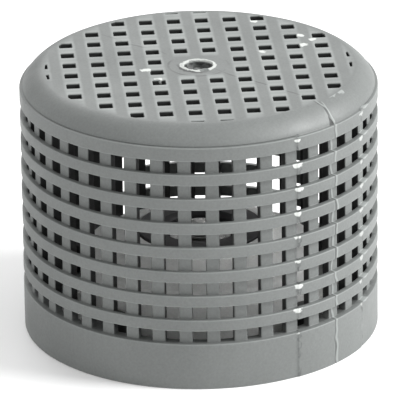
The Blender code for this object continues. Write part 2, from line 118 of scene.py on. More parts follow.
class Nodes:
    """Short way to add and link shader nodes in one material."""

    def __init__(self, name):
        self.material = bpy.data.materials.new(name)
        self.material.use_nodes = True
        self.tree = self.material.node_tree
        self.shader = self.tree.nodes["Principled BSDF"]
        self.place = self.add("ShaderNodeTexCoord").outputs["Object"]

    def add(self, kind, **values):
        node = self.tree.nodes.new(kind)
        for key, value in values.items():
            setattr(node, key, value)
        return node

    def put(self, socket, value):
        """Link a socket, or set a number or a vector."""
        if isinstance(value, bpy.types.NodeSocket):
            self.tree.links.new(value, socket)
        else:
            socket.default_value = value

    def math(self, operation, first, second=0.0):
        node = self.add("ShaderNodeMath", operation=operation)
        self.put(node.inputs[0], first)
        self.put(node.inputs[1], second)
        return node.outputs["Value"]

    def times(self, first, *others):
        """Product of sockets and numbers."""
        for other in others:
            first = self.math("MULTIPLY", first, other)
        return first

    def from_place(self, operation, vector):
        node = self.add("ShaderNodeVectorMath", operation=operation)
        self.put(node.inputs[0], self.place)
        self.put(node.inputs[1], vector)
        return node.outputs["Value"]

    def distance(self, point):
        return self.from_place("DISTANCE", point)

    def along(self, direction):
        return self.from_place("DOT_PRODUCT", direction)

    def parts(self, vector):
        """The x, y and z of a vector socket."""
        node = self.add("ShaderNodeSeparateXYZ")
        self.put(node.inputs[0], vector)
        return node.outputs

    def length(self, first, second):
        """Length of a vector with these two parts."""
        return self.math("SQRT", self.math("ADD", self.times(first, first), self.times(second, second)))

    def near(self, value, target, core, reach):
        """1 within a distance of the target, fading to 0 at the reach."""
        off = self.math("ABSOLUTE", self.math("SUBTRACT", value, target))
        return self.between(off, core, reach, 1.0, 0.0)

    def beyond_hole(self, coordinate):
        """How far outside the lattice's holes a coordinate lies; 0 within them."""
        from_line = self.math("PINGPONG", coordinate, LATTICE_PITCH / 2)
        beyond = self.math("SUBTRACT", (LATTICE_PITCH - LATTICE_HOLE) / 2, from_line)
        return self.math("MAXIMUM", beyond, 0.0)

    def noise(self, scale, detail=4.0, roughness=0.55, stretch=(1.0, 1.0, 1.0)):
        mapping = self.add("ShaderNodeMapping")
        self.put(mapping.inputs["Scale"], stretch)
        self.put(mapping.inputs["Vector"], self.place)
        node = self.add("ShaderNodeTexNoise")
        for key, number in (("Scale", scale), ("Detail", detail), ("Roughness", roughness)):
            self.put(node.inputs[key], number)
        self.put(node.inputs["Vector"], mapping.outputs["Vector"])
        return node.outputs["Fac"]

    def uneven(self, scale, low=0.0, high=1.0, detail=4.0, roughness=0.55):
        """A number that wanders between low and high over the surface."""
        return self.between(self.noise(scale, detail, roughness), 0.3, 0.7, low, high)

    def between(self, value, low, high, to_low=0.0, to_high=1.0):
        node = self.add("ShaderNodeMapRange")
        for key, number in (("From Min", low), ("From Max", high), ("To Min", to_low), ("To Max", to_high)):
            self.put(node.inputs[key], number)
        self.put(node.inputs["Value"], value)
        return node.outputs["Result"]

    def mix(self, factor, first, second):
        """Mix two colours; each is a colour triple or a socket."""
        node = self.add("ShaderNodeMix", data_type="RGBA")
        self.put(node.inputs[0], factor)
        for socket, value in ((node.inputs[6], first), (node.inputs[7], second)):
            self.put(socket, (*value, 1.0) if isinstance(value, tuple) else value)
        return node.outputs[2]

    def edges(self, low, high):
        """1 on convex edges, where the materials paint a highlight; 0 elsewhere."""
        pointed = self.add("ShaderNodeNewGeometry").outputs["Pointiness"]
        return self.between(pointed, low, high)

    def openness(self, reach):
        """1 on open surface, down to 0 deep in holes and corners of the same piece; the materials paint
        shade with it.
        """
        node = self.add("ShaderNodeAmbientOcclusion", samples=8, only_local=True)
        self.put(node.inputs["Distance"], reach)
        return node.outputs["AO"]

    def bump(self, heights):
        """Stack bumps from (height socket, strength, distance in metres)."""
        normal = None
        for height, strength, distance in heights:
            node = self.add("ShaderNodeBump")
            self.put(node.inputs["Strength"], strength)
            self.put(node.inputs["Distance"], distance)
            self.put(node.inputs["Height"], height)
            if normal is not None:
                self.put(node.inputs["Normal"], normal)
            normal = node.outputs["Normal"]
        self.put(self.shader.inputs["Normal"], normal)

    def finish(self, colour, roughness, metallic=0.0):
        self.put(self.shader.inputs["Base Color"], colour)
        self.put(self.shader.inputs["Roughness"], roughness)
        self.put(self.shader.inputs["Metallic"], metallic)
        return self.material


def scaled(colour, factor):
    return tuple(min(1.0, channel * factor) for channel in colour)


def plastic_base(nodes, colour, cloud, edge_highlight, edge_light):
    """Soft clouds of tone, small light and dark specks, and a painted highlight on convex edges."""
    specks = nodes.noise(900.0, 3.0, 0.7)
    fine = nodes.uneven(2400.0, detail=2.0, roughness=0.6)
    base = nodes.mix(nodes.uneven(55.0, detail=5.0), scaled(colour, 1 - cloud), scaled(colour, 1 + cloud))
    base = nodes.mix(0.3, base, nodes.mix(fine, scaled(colour, 0.75), scaled(colour, 1.25)))
    base = nodes.mix(nodes.between(specks, 0.62, 0.8, 0.0, 0.35), base, scaled(colour, 1.35))
    base = nodes.mix(nodes.between(specks, 0.38, 0.2, 0.0, 0.35), base, scaled(colour, 0.65))
    return nodes.mix(edge_highlight, base, scaled(colour, edge_light))


def grain(nodes):
    """Fine spark-eroded grain of the mould, and the slight waves of a cooled moulding."""
    return [
        (nodes.noise(2600.0, 3.0, 0.6), 0.35, 0.02 * MM),
        (nodes.noise(220.0, 3.0), 0.25, 0.05 * MM),
        (nodes.noise(60.0, 2.0), 0.2, 0.15 * MM),
    ]


def moulded_plastic(name, colour, roughness, edge_light, cloud, corner_shade=0.5):
    nodes = Nodes(name)
    # painted highlight on convex edges
    base = plastic_base(nodes, colour, cloud, nodes.edges(0.52, 0.6), edge_light)
    # painted shade in corners and hollows
    base = nodes.mix(nodes.between(nodes.openness(6 * MM), 0.1, 0.6), scaled(colour, corner_shade), base)
    nodes.bump(grain(nodes))
    return nodes.finish(base, nodes.uneven(140.0, roughness - 0.07, roughness + 0.07))


class BasketPlastic(Nodes):
    """The basket's grey, the marks that its moulding left on it, and painted shade and highlights.

    Each mark's method gives either where the mark is, from 0 to 1, or the colour with the mark added.
    """

    def __init__(self):
        super().__init__("basket_grey")
        self.x, self.y, self.z = self.parts(self.place)
        self.from_axis = self.length(self.x, self.y)
        self.clouds = self.noise(110.0, 2.0)
        self.ragged = self.uneven(800.0, -0.45 * MM, 0.45 * MM, 2.0)
        self.on_top = self.between(self.z, BASKET_TOP - 0.3 * MM, BASKET_TOP - 0.1 * MM)
        self.outside = self.between(self.from_axis, RECESS_RADIUS - 0.1 * MM, RECESS_RADIUS + 0.1 * MM)

    def towards(self, angle):
        """How far out a point lies in this direction."""
        return self.along((math.cos(angle), math.sin(angle), 0.0))

    def beside(self, angle):
        """How far a point lies anticlockwise of this direction."""
        return self.along((-math.sin(angle), math.cos(angle), 0.0))

    def stain(self, base, where, factor):
        """The base colour, with the plastic's own colour times a factor where the mark is."""
        return self.mix(where, base, scaled(BASKET_COLOUR, factor))

    def knit_lines(self):
        """Lines where flows of plastic met on the flat top, and one ripple round the gate."""
        wander = self.uneven(70.0, -1.0 * MM, 1.0 * MM, 2.0)
        off = self.math("SUBTRACT", self.beside(SEAM_ANGLE), wander)
        knit = self.near(off, 0.0, 0.12 * MM, 0.34 * MM)
        ripple = self.near(self.from_axis, 5.3 * MM, 0.1 * MM, 0.3 * MM)
        patches = self.between(self.clouds, 0.44, 0.54)
        return self.times(self.math("MAXIMUM", knit, ripple), patches, self.on_top)

    def painted_hole_highlights(self):
        """Painted highlight round the top's holes, most of all on the bars between one row and the next."""
        beside_x = self.math("DIVIDE", self.beyond_hole(self.x), 0.55 * MM)
        beside_y = self.math("DIVIDE", self.beyond_hole(self.y), 2.6 * MM)
        rim = self.between(self.length(beside_x, beside_y), 0.25, 1.1, 1.0, 0.0)
        from_middle = self.math("MAXIMUM", self.math("ABSOLUTE", self.x), self.math("ABSOLUTE", self.y))
        past_gate = self.between(from_middle, LATTICE_PITCH - 0.7 * MM, LATTICE_PITCH)
        on_flat = self.between(self.from_axis, TOP_FLAT_RADIUS - 1.5 * MM, TOP_FLAT_RADIUS, 1.0, 0.0)
        patchy = self.between(self.clouds, 0.3, 0.65, 0.5, 0.95)
        return self.times(rim, past_gate, on_flat, self.on_top, patchy)

    def inside(self):
        """Where shade is painted: the walls of the top's holes and of the room, less dark below the
        openings.
        """
        in_holes = self.times(self.math("LESS_THAN", self.from_axis, TOP_FLAT_RADIUS - 0.2 * MM),
                              self.between(self.z, BASKET_TOP - 0.3 * MM, BASKET_TOP - 0.12 * MM, 1.0, 0.0))
        in_room = self.times(self.math("LESS_THAN", self.from_axis, RECESS_RADIUS - 0.15 * MM),
                             self.math("LESS_THAN", self.z, BASKET_TOP - TOP_THICKNESS + 0.2 * MM),
                             self.between(self.z, BAND_HEIGHT + 0.1 * MM, BAND_HEIGHT + 1.6 * MM, 0.3, 1.0))
        past_gate = self.math("GREATER_THAN", self.from_axis, GATE_FOOT + 0.35 * MM)
        return self.times(self.math("MAXIMUM", in_holes, in_room), past_gate)

    def gate(self, base):
        """Painted shade in uneven patches inside the gate, a whitened rim with a notch, and a painted shadow
        crescent round its foot on the front-left side.
        """
        wobble = self.math("ADD", self.from_axis, self.times(self.ragged, 0.4))
        # painted shade inside the gate, in patches like lit and shaded broken faces
        gate_shade = self.between(self.noise(950.0, 1.0), 0.42, 0.58, 0.12, 0.75)
        gate_shade = self.mix(gate_shade, scaled(BASKET_COLOUR, 0.05), scaled(BASKET_COLOUR, 0.8))
        in_gate = self.times(self.between(wobble, GATE_MOUTH, GATE_MOUTH + 0.15 * MM, 1.0, 0.0),
                             self.between(self.z, BASKET_TOP - 0.4 * MM, BASKET_TOP - 0.15 * MM, 1.0, 0.0))
        base = self.mix(in_gate, base, gate_shade)
        notch = self.distance(tuple(on_circle(GATE_MOUTH + 0.25 * MM, GATE_NOTCH, BASKET_TOP)))
        notch = self.between(self.math("ADD", notch, self.ragged), 0.7 * MM, 0.95 * MM)
        rim = self.near(wobble, GATE_MOUTH + 0.35 * MM, 0.28 * MM, 0.44 * MM)
        base = self.mix(self.times(rim, self.on_top, notch, 0.92), base, (0.48, 0.5, 0.48))
        # painted shadow round the gate's foot on the front-left side
        shadowed_side = self.between(self.along((-0.6, -0.8, 0.0)), 1.2 * MM, 2.6 * MM)
        crescent = self.near(wobble, GATE_FOOT + 0.25 * MM, 0.16 * MM, 0.36 * MM)
        return self.stain(base, self.times(crescent, self.on_top, shadowed_side), 0.25)

    def seam(self, base):
        """Down the shoulder: a painted highlight on the ridge, painted shade in the groove beside it and a
        notch of painted shade at its foot.
        """
        sway = self.uneven(260.0, -0.35 * MM, 0.35 * MM, 1.0)
        off = self.math("ADD", self.beside(SEAM_ANGLE), sway)
        on_shoulder = self.times(self.between(self.from_axis, TOP_FLAT_RADIUS - 1.2 * MM, TOP_FLAT_RADIUS),
                                 self.math("GREATER_THAN", self.towards(SEAM_ANGLE), 0.0))
        # painted highlight on the ridge
        ridge = self.near(off, 0.3 * MM, 0.1 * MM, 0.3 * MM)
        base = self.stain(base, self.times(ridge, on_shoulder, 0.7), 2.0)
        # painted shade in the groove
        groove = self.near(off, -0.12 * MM, 0.08 * MM, 0.26 * MM)
        base = self.stain(base, self.times(groove, on_shoulder, 0.6), 0.35)
        # painted shade in a notch at the seam's foot
        above_ring = self.math("SUBTRACT", self.z, RING_TOP)
        spread = self.between(above_ring, 1.6 * MM, 0.0, 0.0, 0.55 * MM)
        foot = self.math("LESS_THAN", self.math("ABSOLUTE", self.math("ADD", off, 0.3 * MM)), spread)
        foot = self.times(foot, on_shoulder, self.math("GREATER_THAN", above_ring, 0.0))
        return self.stain(base, self.times(foot, 0.8), 0.12)

    def torn_corners(self):
        """Flash torn white at corners of the top's holes."""
        nearest = 1.0
        for x, y in WHITENED:
            nearest = self.math("MINIMUM", nearest, self.distance((x * MM, y * MM, BASKET_TOP)))
        return self.between(self.math("ADD", nearest, self.ragged), 0.55 * MM, 0.8 * MM, 1.0, 0.0)

    def core_edge(self, angle, whiteness):
        """Painted shade down an edge of the side core, and flash torn white where each ring meets it."""
        off = self.beside(angle)
        facing = self.times(self.between(self.towards(angle), 0.0, 5 * MM), self.outside,
                            self.math("LESS_THAN", self.z, RING_TOP + 0.3 * MM))
        # painted shade in a line beside the core edge
        step_shade = self.near(self.math("ADD", off, self.ragged), 0.25 * MM, 0.1 * MM, 0.35 * MM)
        step_shade = self.times(step_shade, self.between(self.noise(420.0, 1.0), 0.4, 0.55), facing)
        size = self.between(self.noise(230.0, 0.0), 0.35, 0.65, -0.25 * MM, 0.45 * MM)
        above = self.math("MODULO", self.math("SUBTRACT", self.z, BAND_HEIGHT - ROW_PITCH), ROW_PITCH)
        wide = self.math("ADD", self.math("ABSOLUTE", off), self.ragged)
        high = self.math("ABSOLUTE", self.math("SUBTRACT", above, ROW_PITCH - 0.15 * MM))
        bits = self.math("SUBTRACT", self.length(wide, self.times(high, 1.4)), size)
        bits = self.between(bits, 0.35 * MM, 0.6 * MM, whiteness, 0.0)
        return step_shade, self.times(bits, facing)

    def finished(self):
        """The material: plain plastic with one mark laid over another, painted shade and highlights among
        them.
        """
        below_top = self.between(self.z, BASKET_TOP - 0.06 * MM, BASKET_TOP - 0.02 * MM, 1.0, 0.0)
        # painted highlight on convex edges, not on the flat top itself
        edge_highlight = self.times(self.edges(0.52, 0.59), below_top)
        lines, rims = self.knit_lines(), self.painted_hole_highlights()
        base = plastic_base(self, BASKET_COLOUR, 0.09, edge_highlight, 1.9)
        base = self.stain(base, self.times(lines, 0.62), 0.4)
        # painted highlight round the top's holes
        base = self.stain(base, rims, 1.75)
        # painted shade in crevices and corners, weaker on the outer faces
        unshaded = self.between(self.openness(5 * MM), 0.1, 0.5, 0.1, 1.0)
        unshaded = self.math("MAXIMUM", unshaded, self.times(self.outside, 0.75))
        base = self.mix(unshaded, scaled(BASKET_COLOUR, 0.2), base)
        # painted shade in the top's holes and inside the room
        base = self.stain(base, self.times(self.inside(), 0.93), 0.06)
        base = self.seam(self.gate(base))
        torn = self.torn_corners()
        for angle, whiteness in zip(CORE_EDGES, (1.0, 0.55)):
            step_shade, bits = self.core_edge(angle, whiteness)
            # painted shade beside each core edge
            base = self.stain(base, self.times(step_shade, 0.65), 0.3)
            torn = self.math("MAXIMUM", torn, bits)
        base = self.mix(torn, base, (0.54, 0.56, 0.54))
        self.bump(grain(self) + [(lines, 0.5, -0.06 * MM), (torn, 0.6, 0.12 * MM), (rims, 0.2, 0.05 * MM)])
        return self.finish(base, self.uneven(140.0, 0.46, 0.6))


def moulded_rubber(name):
    nodes = Nodes(name)
    colour = (0.022, 0.022, 0.024)
    base = nodes.mix(nodes.uneven(120.0), scaled(colour, 0.7), scaled(colour, 1.5))
    dust = nodes.between(nodes.noise(1500.0, 2.0), 0.62, 0.8, 0.0, 0.4)
    base = nodes.mix(dust, base, (0.09, 0.09, 0.085))
    # painted highlight on convex edges
    base = nodes.mix(nodes.edges(0.53, 0.62), base, scaled(colour, 2.2))
    nodes.bump([(nodes.noise(1800.0, 3.0), 0.4, 0.02 * MM)])
    return nodes.finish(base, nodes.uneven(300.0, 0.62, 0.85))


def turned_metal(name, colour, roughness):
    """Machined metal: fine turning marks about the valve's axis, tarnish clouds, painted shade in hollows
    and a painted highlight on edges.
    """
    nodes = Nodes(name)
    marks = nodes.noise(60.0, 2.0, 0.5, (4.0, 4.0, 260.0))
    base = nodes.mix(nodes.uneven(130.0, detail=5.0), scaled(colour, 0.75), scaled(colour, 1.12))
    # painted shade in hollows
    base = nodes.mix(nodes.between(nodes.openness(2 * MM), 0.1, 0.6), scaled(colour, 0.35), base)
    # painted highlight on convex edges
    base = nodes.mix(nodes.edges(0.52, 0.6), base, scaled(colour, 1.25))
    nodes.bump([(marks, 0.2, 0.01 * MM), (nodes.noise(900.0, 3.0), 0.2, 0.01 * MM)])
    return nodes.finish(base, nodes.between(marks, 0.3, 0.7, roughness - 0.08, roughness + 0.1), 1.0)


BASKET_COLOUR = (0.145, 0.154, 0.150)

# The material of each slot in the record
LOOKS = {
    "basket_plastic": BasketPlastic().finished(),
    "body_plastic": moulded_plastic("body_grey", (0.92, 0.93, 0.91), 0.5, 1.03, 0.03, 0.97),
    "black_acetal": moulded_plastic("acetal_black", (0.03, 0.03, 0.032), 0.42, 1.6, 0.2),
    "white_acetal": moulded_plastic("acetal_white", (0.72, 0.71, 0.67), 0.4, 1.1, 0.05),
    "rubber": moulded_rubber("nitrile_rubber"),
    "steel": turned_metal("stainless_steel", (0.58, 0.58, 0.57), 0.32),
    "brass": turned_metal("brass", (0.70, 0.50, 0.22), 0.34),
}


# ---------------- mesh helpers


def as_object(name, bm, sharp=math.radians(35)):
    bmesh.ops.recalc_face_normals(bm, faces=bm.faces)
    mesh = bpy.data.meshes.new(name)
    bm.to_mesh(mesh)
    bm.free()
    mesh.shade_smooth()
    mesh.set_sharp_from_angle(angle=sharp)
    obj = bpy.data.objects.new(name, mesh)
    bpy.context.scene.collection.objects.link(obj)
    return obj


def show(obj, slot, body, *nodes):
    """Give a piece the material of its slot in the record, put it under its body, and hide the CAD nodes it
    stands for.
    """
    obj.data.materials.clear()
    obj.data.materials.append(LOOKS[slot])
    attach(obj, body)
    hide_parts(*nodes)


def freeze(obj):
    """Apply the modifiers of an object."""
    graph = bpy.context.evaluated_depsgraph_get()
    mesh = bpy.data.meshes.new_from_object(obj.evaluated_get(graph), depsgraph=graph)
    obj.modifiers.clear()
    obj.data = mesh


def boolean(obj, bm, operation):
    """Cut, join or trim with a helper mesh, which is then removed."""
    helper = as_object("helper", bm)
    modifier = obj.modifiers.new("boolean", "BOOLEAN")
    modifier.operation, modifier.object, modifier.solver = operation, helper, "EXACT"
    freeze(obj)
    bpy.data.objects.remove(helper)


def bevel(obj, width, angle=math.radians(35)):
    modifier = obj.modifiers.new("edge rounding", "BEVEL")
    modifier.width, modifier.segments = width, 2
    modifier.limit_method, modifier.angle_limit = "ANGLE", angle
    modifier.use_clamp_overlap = False
    modifier.miter_outer = "MITER_ARC"
    freeze(obj)


def rounded(outline, radius, steps=3):
    """The outline with each corner off the axis turned into an arc of up to this radius."""
    made = []
    count = len(outline)
    for i, corner in enumerate(outline):
        here = Vector(corner[:2])
        before, after = Vector(outline[i - 1][:2]), Vector(outline[(i + 1) % count][:2])
        wanted = corner[2] if len(corner) > 2 else radius
        into, out = before - here, after - here
        half = into.angle(out) / 2
        if here.x == 0 or wanted == 0 or abs(half - math.pi / 2) < 0.02:
            made.append(tuple(here))
            continue
        back = min(wanted / math.tan(half), 0.45 * into.length, 0.45 * out.length)
        start, end = here + into.normalized() * back, here + out.normalized() * back
        for step in range(steps + 1):
            t = step / steps
            made.append(tuple(start.lerp(here, t).lerp(here.lerp(end, t), t)))
    return made


def lathe(profile, sides, centres=((0.0, 0.0),)):
    """Turn a closed (radius, height) outline about an upright axis at each centre."""
    bm = bmesh.new()
    for centre in centres:
        rings = []
        for radius, height in profile:
            if radius == 0:
                rings.append([bm.verts.new((*centre, height))] * sides)
                continue
            points = [on_circle(radius, FULL_TURN * side / sides, height) for side in range(sides)]
            rings.append([bm.verts.new(point + Vector((*centre, 0.0))) for point in points])
        for lower, upper in zip(rings, rings[1:] + rings[:1]):
            for side in range(sides):
                after = (side + 1) % sides
                corners = list(dict.fromkeys([lower[side], lower[after], upper[after], upper[side]]))
                if len(corners) > 2:
                    bm.faces.new(corners)
    return bm


def turned(name, profile, rounding, sides=128):
    return as_object(name, lathe(rounded(profile, rounding), sides))


def ring_profile(inner, outer, bottom, top):
    return [(inner, bottom), (outer, bottom), (outer, top), (inner, top)]


def join_rings(bm, rings):
    """Faces from each ring of vertices to the next."""
    for before, after in zip(rings, rings[1:]):
        for i in range(len(before)):
            bm.faces.new((before[i - 1], before[i], after[i], after[i - 1]))


def skin(bm, rings):
    """Faces over a row of rings, closed at both ends."""
    join_rings(bm, rings)
    bm.faces.new(rings[0])
    bm.faces.new(rings[-1])


def prism(outline, low, high):
    bm = bmesh.new()
    skin(bm, [[bm.verts.new((x, y, z)) for x, y in outline] for z in (low, high)])
    return bm


def fin(outline, half, angle):
    """Upright slab that stands out from the axis; its outline is in radii and heights."""
    bm = bmesh.new()
    skin(bm, [[bm.verts.new((x, y, z)) for x, z in outline] for y in (-half, half)])
    bmesh.ops.rotate(bm, verts=bm.verts, matrix=Matrix.Rotation(angle, 3, "Z"))
    return bm


def run(low, high, step):
    """Heights from low to high, about a step apart."""
    count = max(1, round((high - low) / step))
    return [low + (high - low) * i / count for i in range(count + 1)]


def cut_thread(obj, radius, low, high, pitch, depth):
    """Push the dense rings of a surface of this radius in and out along a helix; depth may be negative."""
    for vertex in obj.data.vertices:
        place = vertex.co.copy()
        reach = math.hypot(place.x, place.y)
        if abs(reach - radius) > 1e-5 or not low - 1e-6 <= place.z <= high + 1e-6:
            continue
        turn = place.z / pitch - math.atan2(place.y, place.x) / FULL_TURN
        flank = abs(turn % 1.0 - 0.5) * 2
        crest = min(1.0, max(0.0, (flank - 0.12) / 0.76))
        fade = min(1.0, (place.z - low) / pitch * 2, (high - place.z) / pitch * 2)
        wider = (reach + depth * crest * max(0.0, fade)) / reach
        vertex.co = Vector((place.x * wider, place.y * wider, place.z))


# ---------------- strainer basket


def wall_lines():
    """Angles of the wall's mesh lines, each with whether an opening starts there."""
    step = FULL_TURN / COLUMNS
    half = math.asin(OPENING / 2 / RECESS_RADIUS)
    centres = [FIRST_COLUMN + column * step for column in range(COLUMNS)]
    angles = []
    beside = EDGE_BAND / RECESS_RADIUS
    for centre in centres:
        angles += [centre - half, centre, centre + half, centre + step / 2]
        angles += [centre - half - beside, centre + half + beside]
    for edge in CORE_EDGES:
        angles += [edge - LINE_STEP / 3, edge + LINE_STEP / 3]
    angles += [SEAM_ANGLE + LINE_STEP * line for line in range(-2, 4)]
    angles = sorted(angle % FULL_TURN for angle in angles)

    def in_opening(angle):
        return any(abs((angle - centre + math.pi) % FULL_TURN - math.pi) < half for centre in centres)

    middles = [(a + b) / 2 for a, b in zip(angles, angles[1:] + [angles[0] + FULL_TURN])]
    return angles, [in_opening(middle) for middle in middles]


def shoulder(turn):
    """Radius and height on the shoulder, from the wall at turn 0 to the flat top at a quarter turn."""
    outward, upward = math.cos(turn) ** (2 / SHOULDER_CURVE), math.sin(turn) ** (2 / SHOULDER_CURVE)
    radius = TOP_FLAT_RADIUS + (SHOULDER_RADIUS - TOP_FLAT_RADIUS) * outward
    return radius, RING_TOP + (BASKET_TOP - RING_TOP) * upward


def wall_mesh():
    """Band, rings, posts between the openings, and shoulder; flat caps close it above and inside."""
    bm = bmesh.new()
    angles, is_opening = wall_lines()
    count = len(angles)
    made = {}

    def ring(radius, height):
        key = (round(radius, 7), round(height, 7))
        if key not in made:
            made[key] = [bm.verts.new(on_circle(radius, angle, height)) for angle in angles]
        return made[key]

    def strip(first, second, wanted=None):
        for i in range(count):
            if wanted is None or is_opening[i] == wanted:
                j = (i + 1) % count
                bm.faces.new((first[i], first[j], second[j], second[i]))

    def posts(bottom, top):
        """Inner face and flanks of the posts between two heights."""
        mid_low, mid_high = ring(RECESS_RADIUS, bottom), ring(RECESS_RADIUS, top)
        in_low, in_high = ring(BASKET_BORE, bottom), ring(BASKET_BORE, top)
        strip(in_low, in_high, False)
        for i in range(count):
            if is_opening[i] != is_opening[i - 1]:
                bm.faces.new((mid_low[i], mid_high[i], in_high[i], in_low[i]))

    def groove(bottom, top):
        """Groove between two hoops, open between the posts."""
        mid_low, mid_high = ring(RECESS_RADIUS, bottom), ring(RECESS_RADIUS, top)
        strip(ring(BASKET_RADIUS, bottom), mid_low)
        strip(ring(BASKET_RADIUS, top), mid_high)
        strip(mid_low, mid_high, False)
        posts(bottom, top)

    def stack(radius, low, high):
        """Upright wall of a ring, with extra mesh lines just inside its edges."""
        heights = [low, low + EDGE_BAND, high - EDGE_BAND, high]
        for under, over in zip(heights, heights[1:]):
            strip(ring(radius, under), ring(radius, over))

    strip(ring(BASKET_RADIUS, 0.0), ring(BASKET_BORE, 0.0))
    stack(BASKET_RADIUS, 0.0, BAND_HEIGHT)
    stack(BASKET_BORE, 0.0, BAND_HEIGHT)
    strip(ring(RECESS_RADIUS, BAND_HEIGHT), ring(BASKET_BORE, BAND_HEIGHT), True)
    for row in range(ROWS):
        bottom = BAND_HEIGHT + row * ROW_PITCH
        top = bottom + OPENING
        groove(bottom, top)
        if row < ROWS - 1:
            stack(BASKET_RADIUS, top, bottom + ROW_PITCH)
            strip(ring(RECESS_RADIUS, top), ring(RECESS_RADIUS, bottom + ROW_PITCH), True)
            posts(top, bottom + ROW_PITCH)
    strip(ring(RECESS_RADIUS, top), ring(BASKET_BORE, top), True)
    ceiling = BASKET_TOP - TOP_THICKNESS
    strip(ring(BASKET_BORE, top), ring(BASKET_BORE, ceiling))
    bm.faces.new(ring(BASKET_BORE, ceiling))
    stack(BASKET_RADIUS, top, RING_TOP)
    below = ring(BASKET_RADIUS, RING_TOP)
    for step in range(SHOULDER_STEPS + 1):
        above = ring(*shoulder(math.pi / 2 * step / SHOULDER_STEPS))
        strip(below, above)
        below = above
    bm.faces.new(below)
    return bm


def screw_places():
    return [on_circle(SCREW_CIRCLE, angle).xy for angle in SCREW_ANGLES]


def boss_mesh():
    """Blind-holed bosses inside the band that the flange screws bite into."""
    bottom = FLANGE_TOP + 0.3 * MM
    pilot_top = span("flange_screw_1")[2] + 0.3 * MM
    profile = [
        (1.3 * MM, bottom), (4.0 * MM, bottom), (4.0 * MM, BAND_HEIGHT), (0.0, BAND_HEIGHT),
        (0.0, pilot_top), (1.3 * MM, pilot_top),
    ]
    return lathe(profile, 32, screw_places())


def clipped_square(x, y, half, radius):
    """Corners of a square, cut off outside a circle about the axis."""
    corners = [Vector((x + half * i, y + half * j)) for i, j in ((-1, -1), (1, -1), (1, 1), (-1, 1))]
    kept = []
    for start, end in zip(corners, corners[1:] + corners[:1]):
        if start.length <= radius:
            kept.append(start)
        crossings = geometry.intersect_line_sphere_2d(start, end, Vector((0.0, 0.0)), radius, True)
        kept += [point for point in crossings if point is not None]
    return kept


def lattice_outlines():
    """Outlines of the top's holes; those at its edge are cut off where the shoulder begins."""
    limit = TOP_FLAT_RADIUS - HOLE_ROUNDING - 0.42 * MM
    smallest = 0.12 * MM ** 2
    for i in range(-6, 6):
        for j in range(-6, 6):
            x, y = (i + 0.5) * LATTICE_PITCH, (j + 0.5) * LATTICE_PITCH
            outline = clipped_square(x, y, LATTICE_HOLE / 2, limit)
            if max(abs(x), abs(y)) > LATTICE_PITCH and len(outline) > 2:
                area = sum(a.cross(b) for a, b in zip(outline, outline[1:] + outline[:1])) / 2
                if area > smallest:
                    yield rounded(outline, 0.22 * MM)


def grown(outline, distance):
    """The outline moved outwards by a distance; it runs anticlockwise and has no hollow."""
    points = [Vector(point) for point in outline]
    made = []
    for before, here, after in zip(points[-1:] + points[:-1], points, points[1:] + points[:1]):
        into, out = (here - before).normalized(), (after - here).normalized()
        first, second = Vector((into.y, -into.x)), Vector((out.y, -out.x))
        made.append(here + (first + second) * distance / (1 + first.dot(second)))
    return made


def pierced_face(bm, rim, holes):
    """Triangles between a rim and the holes inside it; each is a loop of vertices."""
    loops = [rim] + holes
    vertices = [vertex for loop in loops for vertex in loop]
    owner = [number for number, loop in enumerate(loops) for _ in loop]
    edges = []
    for loop in loops:
        first = len(edges)
        edges += [(first + i, first + (i + 1) % len(loop)) for i in range(len(loop))]
    points = [vertex.co.xy / MM for vertex in vertices]
    made = geometry.delaunay_2d_cdt(points, edges, [], 0, 1e-6)
    faces, sources = made[2], made[3]
    for face in faces:
        corners = [sources[corner][0] for corner in face]
        owners = {owner[corner] for corner in corners}
        if len(owners) > 1 or owners == {0}:
            bm.faces.new([vertices[corner] for corner in corners])


def gate_rings(bm):
    """Rough crater where the sprue was broken off: a torn rim round a hole with a ragged stub."""
    profile = [
        (GATE_FOOT + 0.5 * MM, 0.0), (GATE_FOOT + 0.25 * MM, 0.0), (GATE_FOOT, 0.0), (3.02 * MM, 0.04 * MM),
        (2.82 * MM, 0.16 * MM), (2.66 * MM, 0.15 * MM),
        (GATE_MOUTH, -0.05 * MM), (2.4 * MM, -0.6 * MM), (2.25 * MM, -1.3 * MM), (1.8 * MM, -1.5 * MM),
        (1.25 * MM, -1.35 * MM), (0.8 * MM, -0.75 * MM), (0.4 * MM, -0.6 * MM),
    ]
    rings = []
    for number, (radius, rise) in enumerate(profile):
        ring = []
        for side in range(GATE_SIDES):
            angle = FULL_TURN * side / GATE_SIDES
            place = on_circle(radius, angle, rise)
            if number > 2:
                off = (angle - GATE_NOTCH + math.pi) % FULL_TURN - math.pi
                notch = math.exp(-(off / math.radians(15)) ** 2)
                torn = noise.noise_vector(place * 900) * 0.16 * MM
                torn += noise.noise_vector(place * 2400) * 0.07 * MM
                place += Vector((torn.x, torn.y, min(torn.z, 0.18 * MM - rise)))
                if rise > 0:
                    place -= on_circle(0.5 * MM * notch * (number > 3), angle)
                    place.z -= 0.45 * MM * notch * (number == 3)
            ring.append(bm.verts.new(place + Vector((0.0, 0.0, BASKET_TOP))))
        rings.append(ring)
    join_rings(bm, rings)
    bm.faces.new(rings[-1])
    return rings[0]


